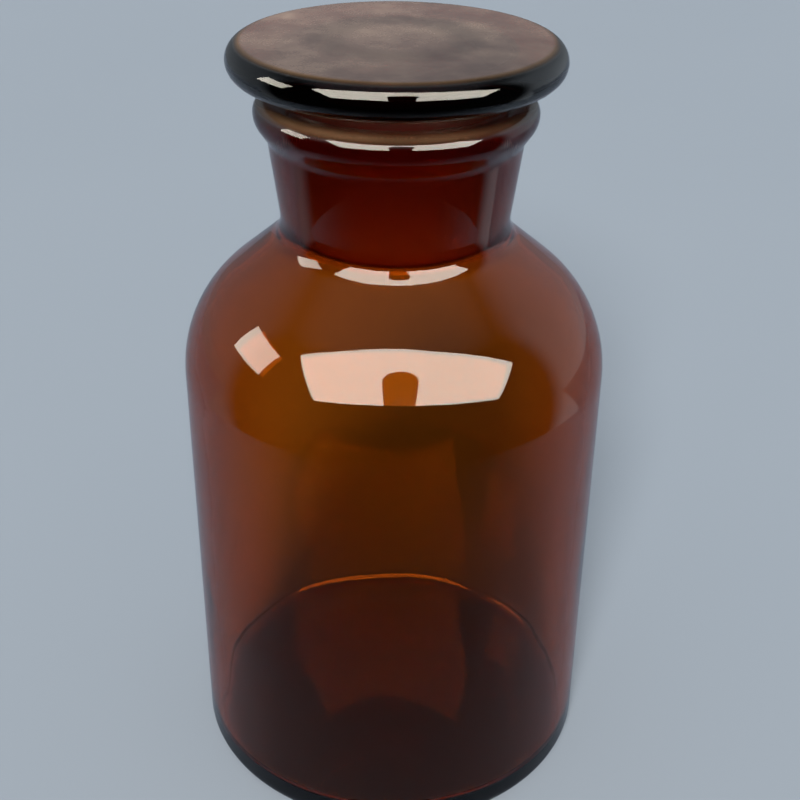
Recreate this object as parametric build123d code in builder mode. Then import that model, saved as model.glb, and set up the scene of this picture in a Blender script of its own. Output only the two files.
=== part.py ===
from build123d import *

import os
from math import cos, radians, sin, tan

# Wide-mouth reagent bottle of 1000 mL in amber glass, with its ground-glass stopper.
# Two loose pieces: the bottle, blown in one piece, and the pressed stopper with a hollow plug.
# The origin is the centre of the ring that the bottle stands on, and +Z runs up the axis.
# The stopper is drawn seated in the neck. All sizes are in millimetres.

os.makedirs("parts", exist_ok=True)

# Bottle, outside
body_radius = 53.5
heel_radius = 5.0  # round edge between the base and the wall
ring_inner_radius = 42.0  # inner edge of the flat ring that the bottle stands on
push_up = 3.0  # rise of the hollowed underside at its centre
shoulder_start = 114.1  # height where the straight wall turns into the shoulder
shoulder_radius = 32.9
shoulder_turn = 50  # degrees that the shoulder curves through before it runs straight up to the neck
neck_base_radius = 27.5
neck_fillet = 7.9  # hollow curve between the shoulder and the neck
neck_top_radius = 30.5
neck_top = 174.0  # height where the neck turns out into the lip
lip_radius = 33.6
lip_bottom = 178.6  # height where the lip reaches its full width
lip_top = 183.8
lip_edge_radius = 3.6
lip_blend = 5.0  # curves into and out of the slope under the lip

# Bottle, inside
wall = 3.0
floor_thickness = 5.5  # glass at the centre of the base
floor_edge = 5.2  # height where the floor would meet the wall without its fillet
inner_heel_radius = 3.5

# Ground joint, 1 in 10 on the diameter
taper = 0.05  # change of radius for each millimetre of height
mouth_radius = 26.5  # ground cone at the top of the lip
mouth_bevel = 1.0
socket_edge_radius = 4.0  # round edge where the socket opens into the shoulder
joint_clearance = 0.05  # between the plug and the socket, on the radius

# Stopper
head_radius = 39.4
head_thickness = 8.6
head_gap = 4.4  # space between the lip and the underside of the head
head_fillet = 1.5  # between the plug and the head
plug_bottom = 150.0  # height of the plug's lower rim
plug_wall = 4.0
plug_rim_radius = 1.6
hollow_top = 188.0  # height of the top of the plug's hollow
hollow_draft = 0.03  # the hollow narrows upwards by this much for each millimetre
hollow_top_radius = 8.0

# Worked-out places
inner_radius = body_radius - wall
shoulder_centre = body_radius - shoulder_radius
turn = radians(shoulder_turn)
slope = 1 / tan(turn)  # rise of the straight part of the shoulder for each millimetre inwards
slope_radius = shoulder_centre + shoulder_radius * cos(turn)
slope_start = shoulder_start + shoulder_radius * sin(turn)
neck_base = slope_start + slope * (slope_radius - neck_base_radius)
inner_slope_radius = shoulder_centre + (shoulder_radius - wall) * cos(turn)
inner_slope_start = shoulder_start + (shoulder_radius - wall) * sin(turn)
# where the inside of the slope meets the socket's cone
socket_bottom = (
    inner_slope_start + slope * (inner_slope_radius - mouth_radius + taper * lip_top)
) / (1 + slope * taper)
head_bottom = lip_top + head_gap
head_top = head_bottom + head_thickness
head_edge = head_thickness / 2


def socket_radius(height):
    """Radius of the ground socket at a height above the base."""
    return mouth_radius - taper * (lip_top - height)


def corner(x, z):
    """The corner of the current section nearest to radius x and height z."""
    return vertices().sort_by_distance((x, z, 0))[0]


socket_bottom_radius = socket_radius(socket_bottom)
plug_bottom_radius = socket_radius(plug_bottom) - joint_clearance
plug_top_radius = socket_radius(head_bottom) - joint_clearance
hollow_bottom_radius = plug_bottom_radius - plug_wall
hollow_roof_radius = hollow_bottom_radius - hollow_draft * (hollow_top - plug_bottom)


# Bottle: half of its section, turned round the axis
with BuildPart() as bottle:
    with BuildSketch(Plane.XZ):
        with BuildLine():
            TangentArc((0, push_up), (ring_inner_radius, 0), tangent=(1, 0))
            Line((ring_inner_radius, 0), (body_radius, 0))
            Line((body_radius, 0), (body_radius, shoulder_start))
            TangentArc((body_radius, shoulder_start), (slope_radius, slope_start), tangent=(0, 1))
            Line((slope_radius, slope_start), (neck_base_radius, neck_base))
            Line((neck_base_radius, neck_base), (neck_top_radius, neck_top))
            Line((neck_top_radius, neck_top), (lip_radius, lip_bottom))
            Line((lip_radius, lip_bottom), (lip_radius, lip_top))
            Line((lip_radius, lip_top), (mouth_radius, lip_top))
            Line((mouth_radius, lip_top), (socket_bottom_radius, socket_bottom))
            Line((socket_bottom_radius, socket_bottom), (inner_slope_radius, inner_slope_start))
            TangentArc(
                (inner_radius, shoulder_start), (inner_slope_radius, inner_slope_start), tangent=(0, 1)
            )
            Line((inner_radius, shoulder_start), (inner_radius, floor_edge))
            TangentArc((0, push_up + floor_thickness), (inner_radius, floor_edge), tangent=(1, 0))
            Line((0, push_up + floor_thickness), (0, push_up))
        make_face()
        fillet(corner(body_radius, 0), heel_radius)
        fillet(corner(neck_base_radius, neck_base), neck_fillet)
        fillet(corner(neck_top_radius, neck_top), lip_blend)
        fillet(corner(lip_radius, lip_bottom), lip_blend)
        fillet(corner(lip_radius, lip_top), lip_edge_radius)
        fillet(corner(socket_bottom_radius, socket_bottom), socket_edge_radius)
        fillet(corner(inner_radius, floor_edge), inner_heel_radius)
        chamfer(corner(mouth_radius, lip_top), mouth_bevel)
    revolve(axis=Axis.Z)
bottle.part.label = "bottle"
export_step(bottle.part, "parts/bottle.step")


# Stopper: a flat round head with a full-round edge, over a hollow tapered plug
with BuildPart() as stopper:
    with BuildSketch(Plane.XZ):
        with BuildLine():
            Line((0, head_top), (head_radius - head_edge, head_top))
            ThreePointArc(
                (head_radius - head_edge, head_top),
                (head_radius, head_top - head_edge),
                (head_radius - head_edge, head_bottom),
            )
            Line((head_radius - head_edge, head_bottom), (plug_top_radius, head_bottom))
            Line((plug_top_radius, head_bottom), (plug_bottom_radius, plug_bottom))
            Line((plug_bottom_radius, plug_bottom), (hollow_bottom_radius, plug_bottom))
            Line((hollow_bottom_radius, plug_bottom), (hollow_roof_radius, hollow_top))
            Line((hollow_roof_radius, hollow_top), (0, hollow_top))
            Line((0, hollow_top), (0, head_top))
        make_face()
        fillet(corner(plug_top_radius, head_bottom), head_fillet)
        fillet(corner(plug_bottom_radius, plug_bottom), plug_rim_radius)
        fillet(corner(hollow_bottom_radius, plug_bottom), plug_rim_radius)
        fillet(corner(hollow_roof_radius, hollow_top), hollow_top_radius)
    revolve(axis=Axis.Z)
stopper.part.label = "stopper"
export_step(stopper.part, "parts/stopper.step")
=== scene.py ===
import math

import bpy
from mathutils import Matrix, Vector, noise


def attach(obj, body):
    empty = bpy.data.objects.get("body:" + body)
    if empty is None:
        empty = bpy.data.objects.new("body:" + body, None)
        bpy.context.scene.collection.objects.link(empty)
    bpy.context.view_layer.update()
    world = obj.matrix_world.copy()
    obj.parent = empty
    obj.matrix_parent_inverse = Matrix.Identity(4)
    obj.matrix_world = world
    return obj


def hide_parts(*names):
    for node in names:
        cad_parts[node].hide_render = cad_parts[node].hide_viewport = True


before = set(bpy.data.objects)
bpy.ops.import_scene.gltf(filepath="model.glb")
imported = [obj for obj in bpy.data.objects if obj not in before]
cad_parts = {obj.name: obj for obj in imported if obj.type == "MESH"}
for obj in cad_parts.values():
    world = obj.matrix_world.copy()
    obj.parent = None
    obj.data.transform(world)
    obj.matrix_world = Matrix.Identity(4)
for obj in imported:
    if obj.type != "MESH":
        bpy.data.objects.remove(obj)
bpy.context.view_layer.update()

# Sizes are in millimetres, as on a drawing, up to where a mesh is made.
MM = 0.001

# Bottle, outside
BODY_RADIUS = 53.5
HEEL_RADIUS = 5.0
RING_INNER_RADIUS = 42.0
PUSH_UP = 3.0
SHOULDER_START = 114.1
SHOULDER_RADIUS = 32.9
SHOULDER_TURN = math.radians(50)
NECK_BASE_RADIUS = 27.5
NECK_FILLET = 7.9
NECK_TOP_RADIUS = 30.5
NECK_TOP = 174.0
LIP_RADIUS = 33.6
LIP_BOTTOM = 178.6
LIP_TOP = 183.8
LIP_EDGE_RADIUS = 3.6
LIP_BLEND = 5.0

# Bottle, inside
WALL = 3.0
FLOOR_THICKNESS = 5.5
FLOOR_EDGE = 5.2
INNER_HEEL_RADIUS = 3.5

# Ground joint
TAPER = 0.05
MOUTH_RADIUS = 26.5
MOUTH_BEVEL = 1.0
SOCKET_EDGE_RADIUS = 4.0
JOINT_CLEARANCE = 0.05

# Stopper
HEAD_RADIUS = 39.4
HEAD_THICKNESS = 8.6
HEAD_GAP = 4.4
HEAD_FILLET = 1.5
PLUG_BOTTOM = 150.0
PLUG_WALL = 4.0
PLUG_RIM_RADIUS = 1.6
HOLLOW_TOP = 188.0
HOLLOW_DRAFT = 0.03
HOLLOW_TOP_RADIUS = 8.0

# Meshes
SEGMENTS = 288  # steps round a turned piece
ARC_STEP = math.radians(4)  # step along a rounded corner
RUN_STEP = 2.5  # longest step along the rest of an outline
FADE = 1.5  # distance over which one finish passes into the next
SAME_POINT = 1e-6  # two points closer than this are one
SHARP_ANGLE = math.radians(32)
FIRE_POINTS = 14  # end of the neck's outline: the upper half of the lip's edge, and the bevel

# Unevenness of the glass: slow waves, with a share of shorter ones, both drawn out along the axis
SLOW_WAVE = 26
SHORT_WAVE = 9
SHORT_SHARE = 0.15
DRAWN_OUT = 0.6
SINK_ONLY = 0.1  # a surface less uneven than this only sinks, which keeps it inside the CAD box

# Each stretch of an outline has a finish: how uneven it is in millimetres, how ground, and how dusty.
FINISHES = {
    "mould": (0.04, 0, 0),  # glass against the mould
    "blown": (0.20, 0, 0),  # free surface inside the bottle
    "pressed": (0.06, 0, 0),  # stopper, against its mould
    "top": (0.06, 0, 1),  # upward face, where dust settles
    "fire": (0, 0, 0.6),  # fire-polished lip, a little dusty
    "ground": (0, 1, 0),
}


def rounded(corners):
    """A smooth outline through corners given as (radius, height, corner radius)."""
    points = []
    for i, (x, z, r) in enumerate(corners):
        here = Vector((x, z))
        if r == 0 or i in (0, len(corners) - 1):
            points.append(here)
            continue
        back = (Vector(corners[i - 1][:2]) - here).normalized()
        on = (Vector(corners[i + 1][:2]) - here).normalized()
        half = back.angle(on) / 2
        centre = here + (back + on).normalized() * (r / math.sin(half))
        start = here + back * (r / math.tan(half)) - centre
        end = here + on * (r / math.tan(half)) - centre
        turn = start.angle_signed(end)
        steps = max(2, math.ceil(abs(turn) / ARC_STEP))
        points += [centre + Matrix.Rotation(-turn * k / steps, 2) @ start for k in range(steps + 1)]
    return points


def arc(centre, radius, begin, end):
    """Points round a circle from one angle to another."""
    steps = max(2, math.ceil(abs(end - begin) / ARC_STEP))
    angles = [begin + (end - begin) * k / steps for k in range(steps + 1)]
    return [centre + radius * Vector((math.cos(a), math.sin(a))) for a in angles]


def shoulder(radius):
    """The shoulder's arc up from the wall, to where it runs straight."""
    return arc(Vector((BODY_RADIUS - SHOULDER_RADIUS, SHOULDER_START)), radius, 0, SHOULDER_TURN)


def dome(rise, edge_radius, edge_height):
    """A shallow arc from the axis at height rise, level there, to the given edge."""
    drop = rise - edge_height
    radius = (edge_radius**2 + drop**2) / (2 * drop)
    steps = math.ceil(edge_radius / RUN_STEP)
    across = [edge_radius * k / steps for k in range(steps + 1)]
    return [Vector((x, rise - radius + math.sqrt(radius**2 - x**2))) for x in across]


def socket_radius(height):
    return MOUTH_RADIUS - TAPER * (LIP_TOP - height)


def bottle_section():
    """Half of the bottle's section as (finish, points): up the outside, then down the inside."""
    slope = 1 / math.tan(SHOULDER_TURN)
    outer, inner_arc = shoulder(SHOULDER_RADIUS), shoulder(SHOULDER_RADIUS - WALL)
    neck_base = outer[-1].y + slope * (outer[-1].x - NECK_BASE_RADIUS)
    inner_rise = slope * (inner_arc[-1].x - MOUTH_RADIUS + TAPER * LIP_TOP)
    socket_bottom = (inner_arc[-1].y + inner_rise) / (1 + slope * TAPER)
    underside = dome(PUSH_UP, RING_INNER_RADIUS, 0)
    heel = rounded([
        (RING_INNER_RADIUS, 0, 0),
        (BODY_RADIUS, 0, HEEL_RADIUS),
        (BODY_RADIUS, SHOULDER_START, 0),
    ])
    neck = rounded([
        (*outer[-1], 0),
        (NECK_BASE_RADIUS, neck_base, NECK_FILLET),
        (NECK_TOP_RADIUS, NECK_TOP, LIP_BLEND),
        (LIP_RADIUS, LIP_BOTTOM, LIP_BLEND),
        (LIP_RADIUS, LIP_TOP, LIP_EDGE_RADIUS),
        (MOUTH_RADIUS + MOUTH_BEVEL, LIP_TOP, 0),
        (MOUTH_RADIUS, LIP_TOP - MOUTH_BEVEL, 0),
    ])
    inner_top = rounded([
        (MOUTH_RADIUS, LIP_TOP, 0),
        (socket_radius(socket_bottom), socket_bottom, SOCKET_EDGE_RADIUS),
        (*inner_arc[-1], 0),
    ])
    # the grinding goes on round the socket's lower edge, as far down as the plug reaches
    ground = [p for p in inner_top[1:] if p.y > PLUG_BOTTOM]
    # the floor's curve stops short of the corner that the inside heel rounds off
    inner = BODY_RADIUS - WALL
    floor = dome(PUSH_UP + FLOOR_THICKNESS, inner, FLOOR_EDGE)
    floor = [p for p in floor if p.x < inner - 2 * INNER_HEEL_RADIUS]
    inner_heel = rounded([
        (inner, SHOULDER_START, 0),
        (inner, FLOOR_EDGE, INNER_HEEL_RADIUS),
        (*floor[-1], 0),
    ])[:-1]
    return [
        ("mould", underside + heel[1:] + outer[1:] + neck[1:-FIRE_POINTS]),
        ("fire", neck[-FIRE_POINTS:]),
        ("ground", [neck[-1]] + ground),
        ("blown", inner_top[len(ground) :] + inner_arc[-2::-1] + inner_heel[1:] + floor[::-1]),
    ]


def stopper_section():
    """Half of the stopper's section, from the roof of its hollow down, up the plug and round the head."""
    bottom = LIP_TOP + HEAD_GAP
    top = bottom + HEAD_THICKNESS
    edge = HEAD_THICKNESS / 2
    plug_low = socket_radius(PLUG_BOTTOM) - JOINT_CLEARANCE
    plug_high = socket_radius(bottom) - JOINT_CLEARANCE
    hollow_low = plug_low - PLUG_WALL
    roof = hollow_low - HOLLOW_DRAFT * (HOLLOW_TOP - PLUG_BOTTOM)
    hollow = rounded([
        (0, HOLLOW_TOP, 0),
        (roof, HOLLOW_TOP, HOLLOW_TOP_RADIUS),
        (hollow_low, PLUG_BOTTOM, PLUG_RIM_RADIUS),
        (plug_low, PLUG_BOTTOM, PLUG_RIM_RADIUS),
        (plug_high, bottom, HEAD_FILLET),
        (HEAD_RADIUS - edge, bottom, 0),
    ])
    # the ground wall runs from the plug's rounded rim to the fillet under the head
    middle = (PLUG_BOTTOM + bottom) / 2
    first = next(i for i, p in enumerate(hollow) if p.x > plug_low - 0.01)
    last = next(i for i, p in enumerate(hollow) if i > first and p.y > middle)
    centre = Vector((HEAD_RADIUS - edge, bottom + edge))
    round_edge = arc(centre, edge, -math.pi / 2, math.pi / 2)
    dusty = len(round_edge) * 7 // 8  # dust lies on the last eighth of the round edge, and on the top
    return [
        ("pressed", hollow[: first + 1]),
        ("ground", hollow[first : last + 1]),
        ("pressed", hollow[last:] + round_edge[1 : dusty + 1]),
        ("top", round_edge[dusty:] + [Vector((0, top))]),
    ]


def finished_outline(section):
    """The section's points, at most RUN_STEP apart, and their finishes, faded where two meet."""
    points, finish, length = [], [], []
    for name, stretch in section:
        if not points:
            points, finish, length = [stretch[0]], [FINISHES[name]], [0]
        joined = (stretch[0] - points[-1]).length < SAME_POINT
        for end in stretch[1:] if joined else stretch:
            start = points[-1]
            steps = max(1, math.ceil((end - start).length / RUN_STEP))
            for k in range(1, steps + 1):
                points.append(start.lerp(end, k / steps))
                finish.append(FINISHES[name])
                length.append(length[-1] + (end - start).length / steps)
    faded = []
    for here in length:
        near = [(1 - abs(s - here) / FADE, f) for s, f in zip(length, finish) if abs(s - here) < FADE]
        total = sum(w for w, _ in near)
        faded.append([sum(w * f[i] for w, f in near) / total for i in range(3)])
    return points, faded


def turned(name, section):
    """A closed mesh turned from the section: unevenness is its shape, ground and dust its attributes."""
    points, finish = finished_outline(section)
    verts, rings, ground, dust = [], [], [], []
    for i, p in enumerate(points):
        before, after = points[max(i - 1, 0)], points[min(i + 1, len(points) - 1)]
        run = (after - before).normalized()
        out_of_glass = Vector((run.y, -run.x))
        axial = p.x < SAME_POINT
        count = 1 if axial else SEGMENTS
        rings.append(list(range(len(verts), len(verts) + count)))
        uneven, ground_here, dust_here = finish[i]
        for k in range(count):
            a = 2 * math.pi * k / SEGMENTS
            place = Vector((p.x * math.cos(a), p.x * math.sin(a), p.y * DRAWN_OUT))
            wave = noise.noise(place / SLOW_WAVE) + SHORT_SHARE * noise.noise(place / SHORT_WAVE)
            moved = p - out_of_glass * uneven * (abs(wave) if uneven < SINK_ONLY else wave)
            r = 0 if axial else moved.x
            verts.append((r * MM * math.cos(a), r * MM * math.sin(a), moved.y * MM))
            ground.append(ground_here)
            dust.append(dust_here)
    faces = []
    for low, high in zip(rings, rings[1:]):
        for k in range(SEGMENTS):
            m = (k + 1) % SEGMENTS
            if len(low) == 1:
                faces.append((low[0], high[m], high[k]))
            elif len(high) == 1:
                faces.append((low[k], low[m], high[0]))
            else:
                faces.append((low[k], low[m], high[m], high[k]))
    mesh = bpy.data.meshes.new(name)
    mesh.from_pydata(verts, [], faces)
    mesh.update()
    mesh.polygons.foreach_set("use_smooth", [True] * len(mesh.polygons))
    mesh.set_sharp_from_angle(angle=SHARP_ANGLE)
    mesh.attributes.new("ground", "FLOAT", "POINT").data.foreach_set("value", ground)
    mesh.attributes.new("dust", "FLOAT", "POINT").data.foreach_set("value", dust)
    piece = bpy.data.objects.new(name, mesh)
    bpy.context.scene.collection.objects.link(piece)
    return piece


# ---------------------------------------------------------------- materials

GLASS_IOR = 1.52
AMBER_DENSITY = 900.0  # per metre, for the colour that is taken up most
AMBER_KEPT = (0.865, 0.58, 0.0)  # 1 minus each colour's share of that density
CLEAR = (1, 1, 1, 1)
GROUND_AMBER = (0.95, 0.52, 0.26, 1)
DUST_GREY = (0.60, 0.43, 0.34, 1)
DUST_BROWN = (0.51, 0.34, 0.29, 1)
DUST_ON_LIP = (0.52, 0.30, 0.15, 1)
FLOOR_DARKER = (0.455, 0.52, 0.595, 1)
FLOOR_LIGHTER = (0.485, 0.55, 0.625, 1)

# Textures, in waves to the metre
SMEARS, RIPPLES = 38, 45
GRINDING_RINGS, GRAIN = 900, 2600
DUST_PATCHES, DUST_SPECKS = 55, 1500

# Roughness
SMEAR_ROUGHNESS = 0.05
GROUND_ROUGHNESS = (0.28, 0.42)
DUST_ROUGHNESS = 0.42

# How much of the glass the dust hides, from its thinnest to its thickest, and what that is multiplied by
DUST_COVER = (0.36, 0.60)
SPECK_COVER = 0.06
DUST_RING = 0.018  # metres, the radius of a thinner ring in the dust
RING_SHARE = 0.72
PAINTED_LIGHT_SPREAD = 0.036  # metres either side of the axis, over which the next two take hold: painted light and shade across the dust
# painted light and shade: thicker, paler dust at the back and left, thinner, darker dust at the front and
# right, for how the light falls across the head's top
PAINTED_SHADE_FRONT_SHARE, PAINTED_LIGHT_BACK_SHARE = 0.80, 1.42
PAINTED_LIGHT_LEFT_SHARE, PAINTED_SHADE_RIGHT_SHARE = 1.15, 0.82
GROUND_COVER = (0.08, 0.16)  # the same for the grain of the ground glass


class Shader:
    """A short way to write a node tree."""

    def __init__(self, name):
        self.material = bpy.data.materials.new(name)
        self.material.use_nodes = True
        self.tree = self.material.node_tree
        self.bsdf = self.tree.nodes["Principled BSDF"]
        self.output = self.tree.nodes["Material Output"]

    def node(self, kind, inputs=(), **settings):
        made = self.tree.nodes.new(kind)
        for key, value in settings.items():
            setattr(made, key, value)
        for key, value in dict(inputs).items():
            self.put(value, made.inputs[key])
        return made

    def put(self, value, socket):
        if isinstance(value, bpy.types.NodeSocket):
            self.tree.links.new(value, socket)
        else:
            socket.default_value = value

    def math(self, operation, a, b=0.0):
        return self.node("ShaderNodeMath", {0: a, 1: b}, operation=operation).outputs[0]

    def noise(self, scale, detail=3.0, stretch=(1, 1, 1), roughness=0.5):
        """Noise through the piece, with scale in waves to the metre."""
        place = self.node("ShaderNodeTexCoord").outputs["Object"]
        mapped = self.node("ShaderNodeMapping", {"Vector": place, "Scale": stretch}).outputs[0]
        inputs = {"Vector": mapped, "Scale": scale, "Detail": detail, "Roughness": roughness}
        return self.node("ShaderNodeTexNoise", inputs).outputs[0]

    def ramp(self, value, low, high):
        """0 below low, 1 above high, smooth between."""
        inputs = {"Value": value, "From Min": low, "From Max": high}
        made = self.node("ShaderNodeMapRange", inputs, interpolation_type="SMOOTHSTEP")
        return made.outputs[0]

    def mix(self, factor, a, b):
        """A number that goes from a to b."""
        return self.node("ShaderNodeMix", {0: factor, 2: a, 3: b}, data_type="FLOAT").outputs[0]

    def mix_colour(self, factor, a, b):
        return self.node("ShaderNodeMix", {0: factor, 6: a, 7: b}, data_type="RGBA").outputs[2]

    def attribute(self, name):
        return self.node("ShaderNodeAttribute", attribute_name=name).outputs["Fac"]


def amber_glass(name):
    """Amber glass, matt where the mesh is ground, with smears, and dust where the mesh has it, with painted
    light and shade laid into the dust.
    """
    s = Shader(name)
    ground, dust = s.attribute("ground"), s.attribute("dust")

    # smears left by handling: faint, long and round the piece
    smear = s.ramp(s.noise(SMEARS, 4, (1, 1, 0.35)), 0.52, 0.78)
    smooth = s.mix(smear, 0.0, SMEAR_ROUGHNESS)
    # ground glass: an even grain with the fine rings that the grinding leaves
    rings = s.noise(GRINDING_RINGS, 2, (0.02, 0.02, 1))
    matt = s.mix(rings, *GROUND_ROUGHNESS)

    # dust: thicker in patches, thinner in a ring over the plug, with a fine speckle
    patches = s.ramp(s.noise(DUST_PATCHES, 5, roughness=0.62), 0.28, 0.72)
    specks = s.ramp(s.noise(DUST_SPECKS, 2), 0.50, 0.66)
    place = s.node("ShaderNodeTexCoord").outputs["Object"]
    flat_place = s.node("ShaderNodeMapping", {"Vector": place, "Scale": (1, 1, 0)}).outputs[0]
    out = s.node("ShaderNodeVectorMath", {0: flat_place}, operation="LENGTH").outputs["Value"]
    out = s.math("ADD", out, s.math("MULTIPLY", patches, 0.003))
    off_ring = s.ramp(s.math("ABSOLUTE", s.math("SUBTRACT", out, DUST_RING)), 0.001, 0.007)
    dust_and_painted_light = s.math("MULTIPLY", s.mix(patches, *DUST_COVER), s.mix(off_ring, RING_SHARE, 1.0))
    # painted light and shade: the dust is made thickest, and so palest, at the back of the head and towards
    # -X, and thinnest and darkest at the front and towards +X, as light falling across it
    x, y, _ = s.node("ShaderNodeSeparateXYZ", {0: place}).outputs
    painted_light_to_back = s.mix(s.ramp(y, -PAINTED_LIGHT_SPREAD, PAINTED_LIGHT_SPREAD), PAINTED_SHADE_FRONT_SHARE, PAINTED_LIGHT_BACK_SHARE)
    painted_shade_to_right = s.mix(s.ramp(x, -PAINTED_LIGHT_SPREAD, PAINTED_LIGHT_SPREAD), PAINTED_LIGHT_LEFT_SHARE, PAINTED_SHADE_RIGHT_SHARE)
    dust_and_painted_light = s.math("MULTIPLY", s.math("MULTIPLY", dust_and_painted_light, painted_light_to_back), painted_shade_to_right)
    dust_and_painted_light = s.math("ADD", dust_and_painted_light, s.math("MULTIPLY", specks, SPECK_COVER))
    dust_and_painted_light = s.math("MULTIPLY", dust, dust_and_painted_light)
    # what hides the glass: the film of dust with its painted light and shade, and a little scatter from the
    # ground grain
    cover = s.math("MAXIMUM", dust_and_painted_light, s.math("MULTIPLY", ground, s.mix(rings, *GROUND_COVER)))

    rough = s.mix(ground, smooth, matt)
    s.put(s.mix(dust_and_painted_light, rough, DUST_ROUGHNESS), s.bsdf.inputs["Roughness"])
    s.put(s.math("SUBTRACT", 1.0, cover), s.bsdf.inputs["Transmission Weight"])
    glass = s.mix_colour(s.ramp(ground, 0.0, 0.5), CLEAR, GROUND_AMBER)
    on_top = s.mix_colour(patches, DUST_BROWN, DUST_GREY)
    settled = s.mix_colour(s.ramp(dust, 0.6, 1.0), DUST_ON_LIP, on_top)
    s.put(s.mix_colour(s.ramp(dust, 0.0, 0.2), glass, settled), s.bsdf.inputs["Base Color"])
    s.bsdf.inputs["IOR"].default_value = GLASS_IOR

    # the surface ripples a little, and the ground parts have a grain
    ripple = s.noise(RIPPLES, 2, (1, 1, 0.6))
    grain = s.math("MULTIPLY", ground, s.noise(GRAIN, 2))
    bump = s.node("ShaderNodeBump", {"Height": ripple, "Strength": 0.35, "Distance": 0.00025})
    grit = s.node(
        "ShaderNodeBump",
        {"Height": grain, "Strength": 0.4, "Distance": 0.00006, "Normal": bump.outputs[0]},
    )
    s.put(grit.outputs[0], s.bsdf.inputs["Normal"])

    absorb = s.node("ShaderNodeVolumeAbsorption", {"Color": (*AMBER_KEPT, 1), "Density": AMBER_DENSITY})
    s.put(absorb.outputs[0], s.output.inputs["Volume"])
    return s.material


def floor_paint():
    s = Shader("pale_floor")
    tone = s.noise(3, 2)
    s.put(s.mix_colour(tone, FLOOR_DARKER, FLOOR_LIGHTER), s.bsdf.inputs["Base Color"])
    s.bsdf.inputs["Roughness"].default_value = 0.85
    s.bsdf.inputs["Specular IOR Level"].default_value = 0.2
    return s.material


# ---------------------------------------------------------------- pieces

bottle = turned("bottle_glass", bottle_section())
bottle.data.materials.append(amber_glass("amber_bottle_glass"))
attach(bottle, "bottle")
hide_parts("bottle")

stopper = turned("stopper_glass", stopper_section())
stopper.data.materials.append(amber_glass("amber_stopper_glass"))
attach(stopper, "stopper")
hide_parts("stopper")

# ---------------------------------------------------------------- stage

FLOOR_RADIUS = 6.0
FLOOR_SIDES = 96

# The cloth that the glass mirrors, in metres
CLOTH_RADIUS = 0.27
CLOTH_BACK = 0.08  # how far back the round edge goes before the cloth widens
CLOTH_WIDTH = 2.0
CLOTH_END = 1.5
CLOTH_LIFT = 0.0005
# the cloth's near-black colour is a painted shadow over its front; the pale one is the cloth out of that
# shadow
CLOTH_PAINTED_SHADOW, CLOTH_PALE = (0.015, 0.015, 0.018, 1), (0.30, 0.35, 0.43, 1)

# Where the panels are, seen from the shoulder that they face
SHOULDER_POINT = Vector((0, -0.03, 0.13))
WINDOW_TILT = math.radians(50)
WINDOW_FACING = Vector((0, -math.cos(WINDOW_TILT), math.sin(WINDOW_TILT)))
WINDOW_UP = Vector((0, WINDOW_FACING.z, -WINDOW_FACING.y))
WINDOW_LEFT, WINDOW_RIGHT, WINDOW_LOW, WINDOW_HIGH = -0.98, 1.62, -0.52, 0.33
PANEL_COLOUR = (1.0, 0.93, 0.80)

# The dark card in front of the window: a round top with straight sides below it
CARD_RADIUS = 0.15
CARD_DROP = 0.7
CARD_COLOUR = (0.012, 0.011, 0.012, 1)


def circle(radius, begin=0.0, end=2 * math.pi, steps=64):
    angles = [begin + (end - begin) * k / steps for k in range(steps + 1)]
    return [(radius * math.cos(a), radius * math.sin(a), 0) for a in angles]


def flat(name, outline, material):
    """A flat shape for the stage, drawn from its outline."""
    mesh = bpy.data.meshes.new(name)
    mesh.from_pydata(outline, [], [tuple(range(len(outline)))])
    made = bpy.data.objects.new(name, mesh)
    bpy.context.scene.collection.objects.link(made)
    made.data.materials.append(material)
    return made


def hide(made, *sights):
    for sight in sights:
        setattr(made, "visible_" + sight, False)


def table_cloth():
    """What the glass mirrors instead of the endless floor: a bluish cloth with a round front edge, darkened
    by a painted shadow towards its front.
    """
    s = Shader("cloth")
    place = s.node("ShaderNodeTexCoord").outputs["Object"]
    split = s.node("ShaderNodeSeparateXYZ", {0: place})
    # painted shadow: near black at the front, pale behind
    lit = s.ramp(split.outputs[1], -0.22, 0.05)
    s.put(s.mix_colour(lit, CLOTH_PAINTED_SHADOW, CLOTH_PALE), s.bsdf.inputs["Base Color"])
    s.bsdf.inputs["Roughness"].default_value = 0.9
    s.bsdf.inputs["Specular IOR Level"].default_value = 0.0
    start = math.asin(CLOTH_BACK / CLOTH_RADIUS)
    side = CLOTH_WIDTH / 2
    front = circle(CLOTH_RADIUS, start, -math.pi - start)
    back = [(-side, CLOTH_BACK, 0), (-side, CLOTH_END, 0), (side, CLOTH_END, 0), (side, CLOTH_BACK, 0)]
    cloth = flat("cloth_in_reflections", front + back, s.material)
    cloth.location.z = CLOTH_LIFT
    hide(cloth, "camera", "diffuse", "transmission", "shadow")


def in_window(x, v, distance=1.0):
    """A place in the window's plane, x to the right of the shoulder and v up the plane from its middle."""
    return SHOULDER_POINT + distance * WINDOW_FACING + x * Vector((1, 0, 0)) + v * WINDOW_UP


def towards(azimuth, elevation):
    """A place 1 m from the bottle's shoulder. Azimuth 0 is the camera's side, and 90 is its right."""
    a, e = math.radians(azimuth), math.radians(elevation)
    return SHOULDER_POINT + Vector((math.sin(a) * math.cos(e), -math.cos(a) * math.cos(e), math.sin(e)))


def facing(made, centre, normal):
    """Put a thing at centre with its +Z along normal. A light there shines the opposite way."""
    made.location = centre
    made.rotation_euler = Vector(normal).to_track_quat("Z", "Y").to_euler()


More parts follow.
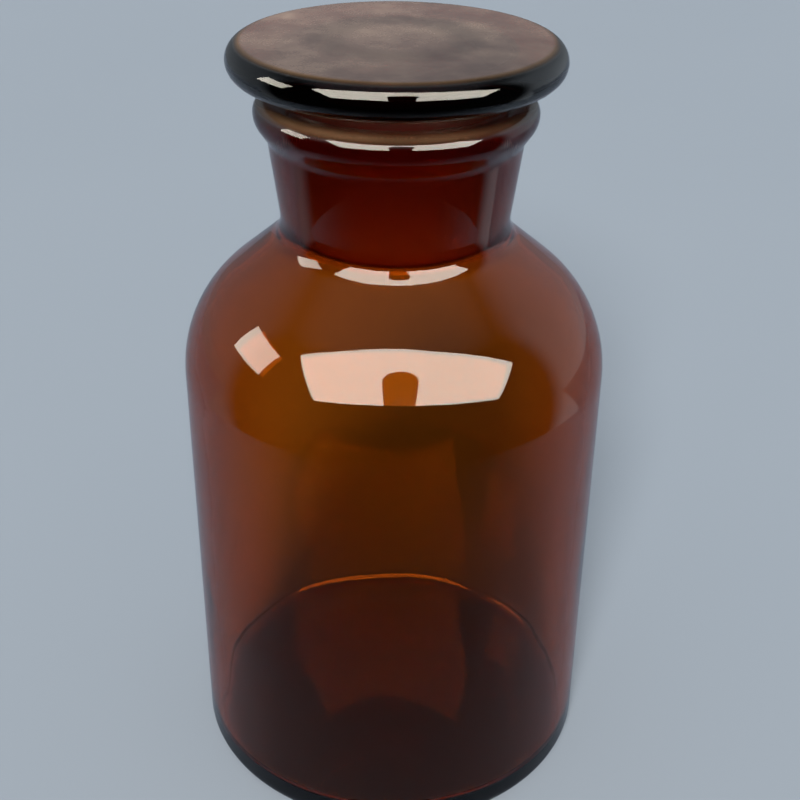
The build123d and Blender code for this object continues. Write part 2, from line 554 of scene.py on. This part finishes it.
def panel(name, width, height, centre, normal, radiance):
    """A soft rectangular light that only glass sees, and only by rays that no matt surface scattered."""
    light = bpy.data.lights.new(name, "AREA")
    light.shape = "RECTANGLE"
    light.size = width
    light.size_y = height
    light.energy = radiance * math.pi * width * height
    light.color = PANEL_COLOUR
    light.use_nodes = True
    tree = light.node_tree
    path, less = tree.nodes.new("ShaderNodeLightPath"), tree.nodes.new("ShaderNodeMath")
    less.operation = "LESS_THAN"
    less.inputs[1].default_value = 0.5
    tree.links.new(path.outputs["Diffuse Depth"], less.inputs[0])
    tree.links.new(less.outputs[0], tree.nodes["Emission"].inputs["Strength"])
    made = bpy.data.objects.new(name, light)
    bpy.context.scene.collection.objects.link(made)
    facing(made, centre, normal)
    hide(made, "camera", "diffuse")


def dark_card():
    """The dark shape with a round top in the middle of the window's reflection."""
    s = Shader("lens_card")
    s.bsdf.inputs["Base Color"].default_value = CARD_COLOUR
    s.bsdf.inputs["Specular IOR Level"].default_value = 0.0
    arch = circle(CARD_RADIUS, 0, math.pi, 24)
    arch += [(-CARD_RADIUS, -CARD_DROP, 0), (CARD_RADIUS, -CARD_DROP, 0)]
    card = flat("lens_card", arch, s.material)
    facing(card, in_window(0.06, -0.14, 0.97), WINDOW_FACING)
    hide(card, "camera", "diffuse", "shadow", "transmission")


def key_light():
    """A soft sun for the floor and the dust. The glass neither mirrors it nor lets it through."""
    sun = bpy.data.lights.new("key_light", "SUN")
    sun.energy = 3.1
    sun.angle = math.radians(20)
    sun.color = (1, 0.98, 0.95)
    key = bpy.data.objects.new("key_light", sun)
    bpy.context.scene.collection.objects.link(key)
    facing(key, (0, 0, 1), towards(-9, 36) - SHOULDER_POINT)
    hide(key, "camera", "glossy", "transmission")


def studio_world():
    """A pale soft room for the floor and the camera. Glass mirrors it dark in front, brighter behind."""
    world = bpy.data.worlds.new("studio")
    bpy.context.scene.world = world
    world.use_nodes = True
    tree = world.node_tree
    background = tree.nodes["Background"]
    output = tree.nodes["World Output"]
    new = tree.nodes.new
    path, place, split = new("ShaderNodeLightPath"), new("ShaderNodeTexCoord"), new("ShaderNodeSeparateXYZ")
    tree.links.new(place.outputs["Generated"], split.inputs[0])
    x, y, z = split.outputs[:3]

    def put(value, socket):
        if isinstance(value, bpy.types.NodeSocket):
            tree.links.new(value, socket)
        else:
            socket.default_value = value

    def mapped(value, low, high, to_low, to_high):
        made = new("ShaderNodeMapRange")
        made.interpolation_type = "SMOOTHSTEP"
        tree.links.new(value, made.inputs["Value"])
        for key, number in zip(("From Min", "From Max", "To Min", "To Max"), (low, high, to_low, to_high)):
            made.inputs[key].default_value = number
        return made.outputs[0]

    def combine(operation, a, b):
        made = new("ShaderNodeMath")
        made.operation = operation
        put(a, made.inputs[0])
        put(b, made.inputs[1])
        return made.outputs[0]

    def choose(switch, off, on):
        made = new("ShaderNodeMix")
        put(switch, made.inputs[0])
        put(off, made.inputs[2])
        put(on, made.inputs[3])
        return made.outputs[0]

    # what the glass mirrors: dark in front, brighter to the sides, dim overhead, with a faint ceiling
    behind = mapped(y, -0.06, 0.20, 0.02, 0.9)
    right = mapped(x, 0.2, 0.95, 0.22, 0.75)
    left = mapped(x, -0.95, -0.2, 0.40, 0.22)
    aside = combine("MAXIMUM", left, right)
    overhead = mapped(z, 0.55, 0.85, 1.0, 0.25)
    ceiling = mapped(z, 0.70, 0.90, 0.0, 0.20)
    room = combine("MULTIPLY", combine("MULTIPLY", behind, aside), overhead)
    room = combine("MAXIMUM", room, ceiling)
    # what is seen through the glass: the backdrop, paler low down
    seen_through = mapped(z, 0.05, 0.6, 0.60, 0.16)
    room = choose(path.outputs["Is Transmission Ray"], room, seen_through)
    # what lights the floor, and the backdrop that the camera sees
    lit = choose(path.outputs["Is Diffuse Ray"], room, 0.24)
    put(choose(path.outputs["Is Camera Ray"], lit, 0.48), background.inputs["Strength"])
    background.inputs["Color"].default_value = (0.80, 0.90, 1.0, 1)
    tree.links.new(background.outputs[0], output.inputs["Surface"])


floor = flat("floor", circle(FLOOR_RADIUS, steps=FLOOR_SIDES)[:-1], floor_paint())
hide(floor, "glossy")
table_cloth()

width, height = WINDOW_RIGHT - WINDOW_LEFT, WINDOW_HIGH - WINDOW_LOW
middle = in_window((WINDOW_LEFT + WINDOW_RIGHT) / 2, (WINDOW_LOW + WINDOW_HIGH) / 2)
panel("window_panel", width, height, middle, WINDOW_FACING, 10.8)
side = towards(-91, 25)
panel("side_panel", 0.42, 0.34, side, side - SHOULDER_POINT, 8.0)
dark_card()
key_light()
studio_world()

# ---------------------------------------------------------------- camera

SENSOR_WIDTH = 36.0
FOCAL_LENGTH = 58.32
CAMERA_PLACE = Vector((0, -0.2969, 0.2720))
PITCH, YAW, ROLL = math.radians(-29.85), math.radians(-0.279), math.radians(0.539)

cam = bpy.data.cameras.new("camera")
cam.sensor_width = SENSOR_WIDTH
cam.lens = FOCAL_LENGTH
camera = bpy.data.objects.new("camera", cam)
bpy.context.scene.collection.objects.link(camera)
camera.matrix_world = (
    Matrix.Translation(CAMERA_PLACE)
    @ Matrix.Rotation(math.radians(90) + PITCH, 4, "X")
    @ Matrix.Rotation(YAW, 4, "Y")
    @ Matrix.Rotation(ROLL, 4, "Z")
)
scene = bpy.context.scene
scene.camera = camera
scene.view_settings.view_transform = "Standard"
scene.cycles.max_bounces = 32
scene.cycles.transmission_bounces = 28
scene.cycles.glossy_bounces = 12
scene.cycles.caustics_reflective = False
